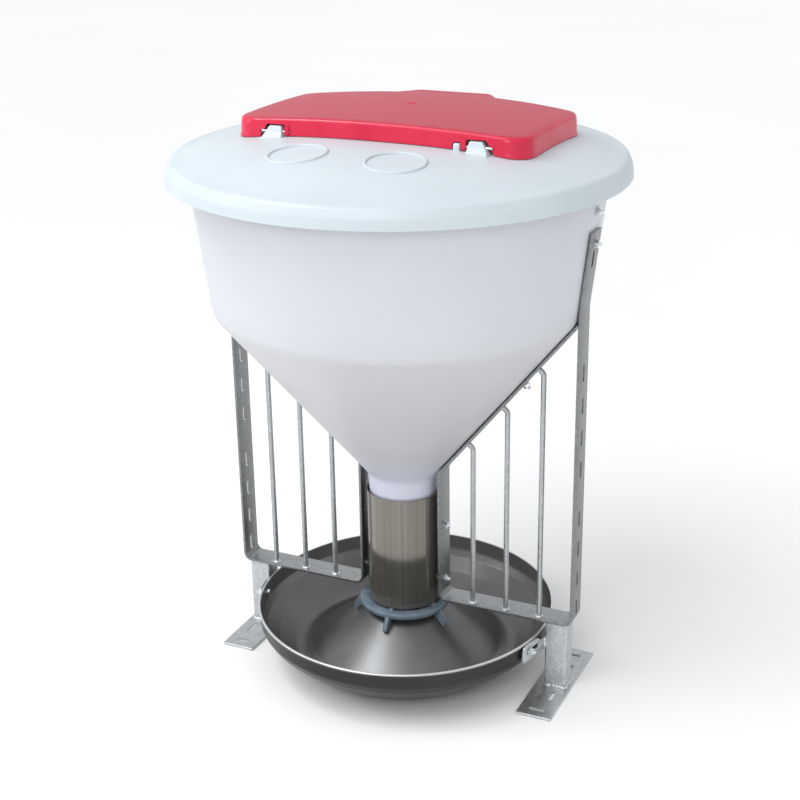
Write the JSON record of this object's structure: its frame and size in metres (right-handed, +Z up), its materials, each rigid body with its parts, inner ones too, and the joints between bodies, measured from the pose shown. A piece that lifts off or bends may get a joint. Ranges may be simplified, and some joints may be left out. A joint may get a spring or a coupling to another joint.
{
  "type": "round hopper feeder",
  "caption": "Free-standing round hopper feeder: conical plastic hopper, domed lid with hinged filler flap, drop tube and agitator over a round steel pan, on bent bar side panels.",
  "frame": {"origin": "centre of the footprint on the floor, below the hopper's axis", "axes": "+X towards the right side panel, -Y towards the front, +Z up along the hopper's axis"},
  "size_m": [0.665, 0.665, 0.8743],
  "materials": {
    "hopper_plastic": "translucent white polyethylene",
    "lid_plastic": "white polyethylene, satin",
    "flap_plastic": "pinkish red, semi-gloss",
    "agitator_plastic": "grey-blue moulded plastic",
    "polished_stainless": "mirror-polished stainless steel",
    "satin_stainless": "dark satin stainless steel",
    "galvanised_steel": "galvanised, fine spangle",
    "zinc_fasteners": "bright zinc plating"
  },
  "bodies": {
    "stand": {"hopper": "hopper_plastic", "feed_pan": "satin_stainless", "pivot_bolt": "zinc_fasteners", "pivot_spacer": "zinc_fasteners", "pivot_nut": "zinc_fasteners", "panel_bar_left": "galvanised_steel", "rod_left_1": "galvanised_steel", "rod_left_2": "galvanised_steel", "rod_left_3": "galvanised_steel", "leg_left": "galvanised_steel", "foot_plate_left": "galvanised_steel", "pan_bracket_left": "galvanised_steel", "wall_left_bolt": "zinc_fasteners", "wall_left_nut": "zinc_fasteners", "bar_top_left_bolt": "zinc_fasteners", "bar_top_left_nut": "zinc_fasteners", "cone_left_bolt": "zinc_fasteners", "cone_left_nut": "zinc_fasteners", "tube_upper_left_bolt": "zinc_fasteners", "tube_upper_left_nut": "zinc_fasteners", "tube_lower_left_bolt": "zinc_fasteners", "tube_lower_left_nut": "zinc_fasteners", "pan_left_bolt": "zinc_fasteners", "pan_left_nut": "zinc_fasteners", "panel_bar_right": "galvanised_steel", "rod_right_1": "galvanised_steel", "rod_right_2": "galvanised_steel", "rod_right_3": "galvanised_steel", "leg_right": "galvanised_steel", "foot_plate_right": "galvanised_steel", "pan_bracket_right": "galvanised_steel", "wall_right_bolt": "zinc_fasteners", "wall_right_nut": "zinc_fasteners", "bar_top_right_bolt": "zinc_fasteners", "bar_top_right_nut": "zinc_fasteners", "cone_right_bolt": "zinc_fasteners", "cone_right_nut": "zinc_fasteners", "tube_upper_right_bolt": "zinc_fasteners", "tube_upper_right_nut": "zinc_fasteners", "tube_lower_right_bolt": "zinc_fasteners", "tube_lower_right_nut": "zinc_fasteners", "pan_right_bolt": "zinc_fasteners", "pan_right_nut": "zinc_fasteners"},
    "lid": {"hopper_lid": "lid_plastic", "hinge_pin_left": "zinc_fasteners", "hinge_pin_right": "zinc_fasteners"},
    "flap": {"filler_flap": "flap_plastic"},
    "tube": {"drop_tube": "polished_stainless"},
    "agitator_wheel": {"agitator": "agitator_plastic"}
  },
  "joints": [
    {"name": "lid_lift", "type": "slide", "parent": "stand", "child": "lid", "axis": [0, 0, 1], "range_m": [0, 0.08]},
    {"name": "flap_hinge", "type": "hinge", "parent": "lid", "child": "flap", "pos_m": [0, -0.081, 0.85], "axis": [1, 0, 0], "range_deg": [0, 90]},
    {"name": "tube_slide", "type": "slide", "parent": "stand", "child": "tube", "axis": [0, 0, 1], "range_m": [0, 0.02]},
    {"name": "agitator_spin", "type": "hinge", "parent": "stand", "child": "agitator_wheel", "pos_m": [0, 0, 0.13], "axis": [0, 0, 1], "continuous": true}
  ]
}
